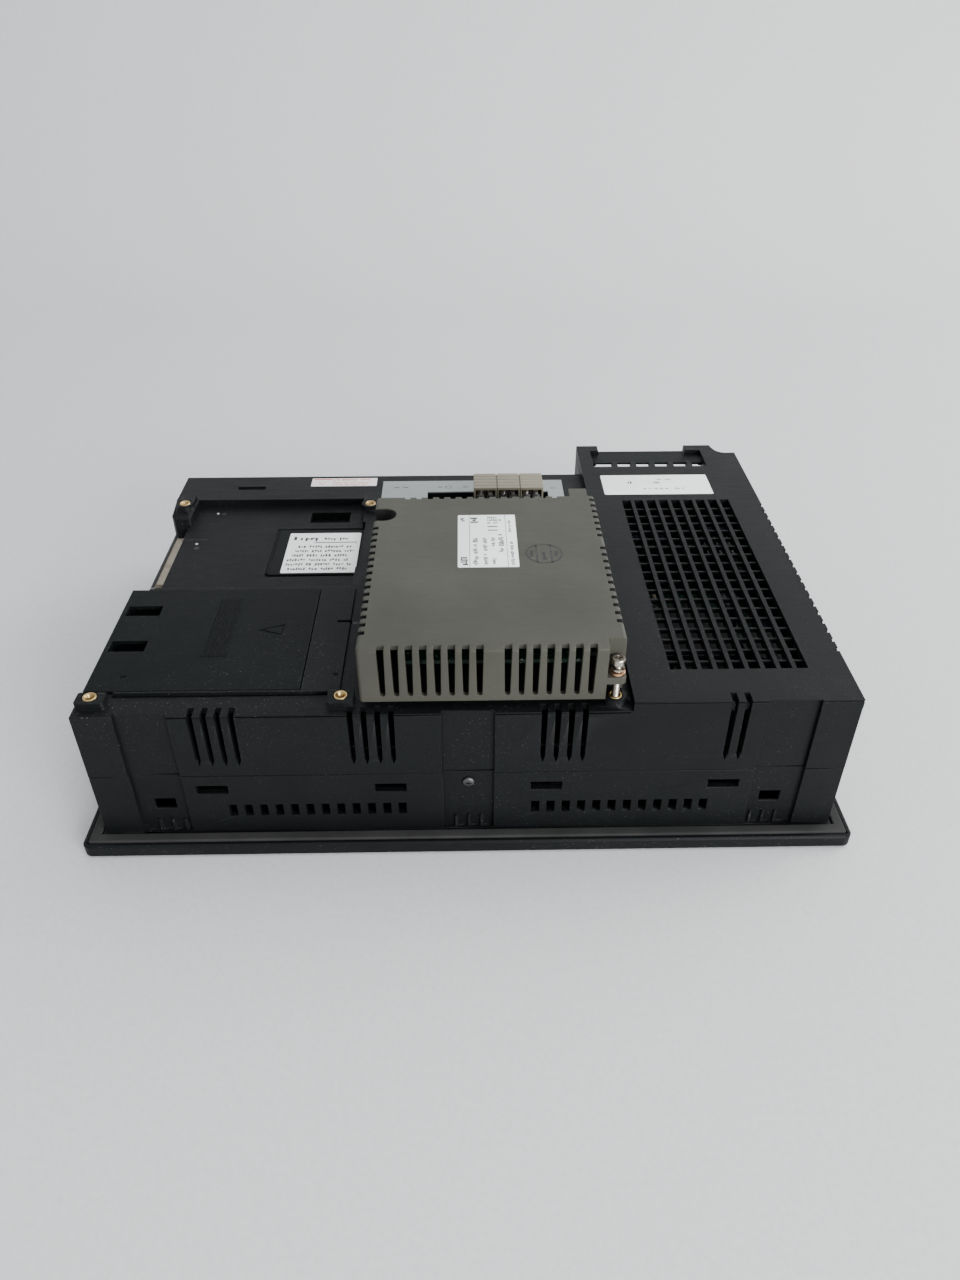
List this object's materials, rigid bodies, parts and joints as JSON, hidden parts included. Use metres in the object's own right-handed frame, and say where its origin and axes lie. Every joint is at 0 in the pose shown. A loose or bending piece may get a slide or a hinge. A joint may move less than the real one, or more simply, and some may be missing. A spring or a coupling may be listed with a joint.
{
  "type": "hmi touch panel",
  "caption": "Operator panel for machines lying on its face: black vented case on a flanged bezel, hinged, sliding and lift-up covers, and a grey slotted interface module on its back.",
  "frame": {"origin": "centre of the bezel's front face, on the surface that the panel lies on", "axes": "+X along the long edge, +Y from the plain edge towards the terminal edge, +Z out of the panel's back"},
  "size_m": [0.3038, 0.231, 0.0927],
  "materials": {
    "black_plastic": "fine-textured moulded plastic",
    "dark_plastic": "matte",
    "olive_plastic": "fine-textured moulded plastic, grey olive",
    "rubber": "matte sponge rubber",
    "circuit_board": "solder resist",
    "steel": "zinc plated",
    "brass": "machined, dulled",
    "paper": "printed label film",
    "plate_grey": "printed sheet, light grey",
    "beige_plastic": "smooth moulded plastic",
    "screen_glass": "anti-glare hard film",
    "key_grey": "embossed film"
  },
  "bodies": {
    "unit": {"front_case": "black_plastic", "rear_case": "black_plastic", "power_cover": "black_plastic", "overlay_sheet": "dark_plastic", "backlight_unit": "dark_plastic", "power_transformer": "dark_plastic", "power_capacitor": "dark_plastic", "terminal_block": "dark_plastic", "card_socket": "dark_plastic", "dsub_insert": "dark_plastic", "modular_jack_1": "dark_plastic", "modular_jack_2": "dark_plastic", "comm_header": "dark_plastic", "module_base": "dark_plastic", "module_connector": "dark_plastic", "module_case": "olive_plastic", "panel_gasket": "rubber", "inverter_board": "circuit_board", "key_board": "circuit_board", "main_board": "circuit_board", "power_board": "circuit_board", "module_board": "circuit_board", "lcd_module": "steel", "shield_plate": "steel", "heat_sink": "steel", "terminal_screw_1": "steel", "terminal_screw_2": "steel", "terminal_screw_3": "steel", "dsub_shell": "steel", "module_screw_1": "steel", "module_screw_2": "steel", "case_screw_near": "steel", "case_screw_far": "steel", "insert_1": "brass", "insert_2": "brass", "insert_3": "brass", "insert_4": "brass", "insert_5": "brass", "insert_6": "brass", "dsub_jackscrew_1": "brass", "dsub_jackscrew_2": "brass", "module_washer_1": "brass", "warning_label": "paper", "module_label": "paper", "label_plate": "plate_grey", "battery": "beige_plastic", "touch_panel": "screen_glass"},
    "terminal_cover": {"terminal_cover": "black_plastic"},
    "slide_cover": {"slide_cover": "black_plastic"},
    "battery_lid": {"battery_lid": "black_plastic", "battery_label": "paper"},
    "comm_plug": {"comm_plug": "beige_plastic"},
    "key_1": {"key_1": "key_grey"},
    "key_2": {"key_2": "key_grey"},
    "key_3": {"key_3": "key_grey"},
    "key_4": {"key_4": "key_grey"},
    "key_5": {"key_5": "key_grey"},
    "key_6": {"key_6": "key_grey"},
    "key_7": {"key_7": "key_grey"},
    "key_8": {"key_8": "key_grey"}
  },
  "joints": [
    {"name": "terminal_cover_hinge", "type": "hinge", "parent": "unit", "child": "terminal_cover", "pos_m": [0.0965, 0.0927, 0.0669], "axis": [1, 0, 0], "range_deg": [0, 110]},
    {"name": "battery_lid_hinge", "type": "hinge", "parent": "unit", "child": "battery_lid", "pos_m": [-0.0688, -0.0046, 0.0607], "axis": [1, 0, 0], "range_deg": [0, 100]},
    {"name": "slide_cover_slide", "type": "slide", "parent": "unit", "child": "slide_cover", "axis": [-1, 0, 0], "range_m": [0, 0.055]},
    {"name": "comm_plug_pull", "type": "slide", "parent": "unit", "child": "comm_plug", "axis": [0, 0, 1], "range_m": [0, 0.02]},
    {"name": "key_1_press", "type": "slide", "parent": "unit", "child": "key_1", "axis": [0, 0, 1], "range_m": [0, 0.0006], "stiffness_N_per_m": 1000},
    {"name": "key_2_press", "type": "slide", "parent": "unit", "child": "key_2", "axis": [0, 0, 1], "range_m": [0, 0.0006], "stiffness_N_per_m": 1000},
    {"name": "key_3_press", "type": "slide", "parent": "unit", "child": "key_3", "axis": [0, 0, 1], "range_m": [0, 0.0006], "stiffness_N_per_m": 1000},
    {"name": "key_4_press", "type": "slide", "parent": "unit", "child": "key_4", "axis": [0, 0, 1], "range_m": [0, 0.0006], "stiffness_N_per_m": 1000},
    {"name": "key_5_press", "type": "slide", "parent": "unit", "child": "key_5", "axis": [0, 0, 1], "range_m": [0, 0.0006], "stiffness_N_per_m": 1000},
    {"name": "key_6_press", "type": "slide", "parent": "unit", "child": "key_6", "axis": [0, 0, 1], "range_m": [0, 0.0006], "stiffness_N_per_m": 1000},
    {"name": "key_7_press", "type": "slide", "parent": "unit", "child": "key_7", "axis": [0, 0, 1], "range_m": [0, 0.0006], "stiffness_N_per_m": 1000},
    {"name": "key_8_press", "type": "slide", "parent": "unit", "child": "key_8", "axis": [0, 0, 1], "range_m": [0, 0.0006], "stiffness_N_per_m": 1000}
  ]
}
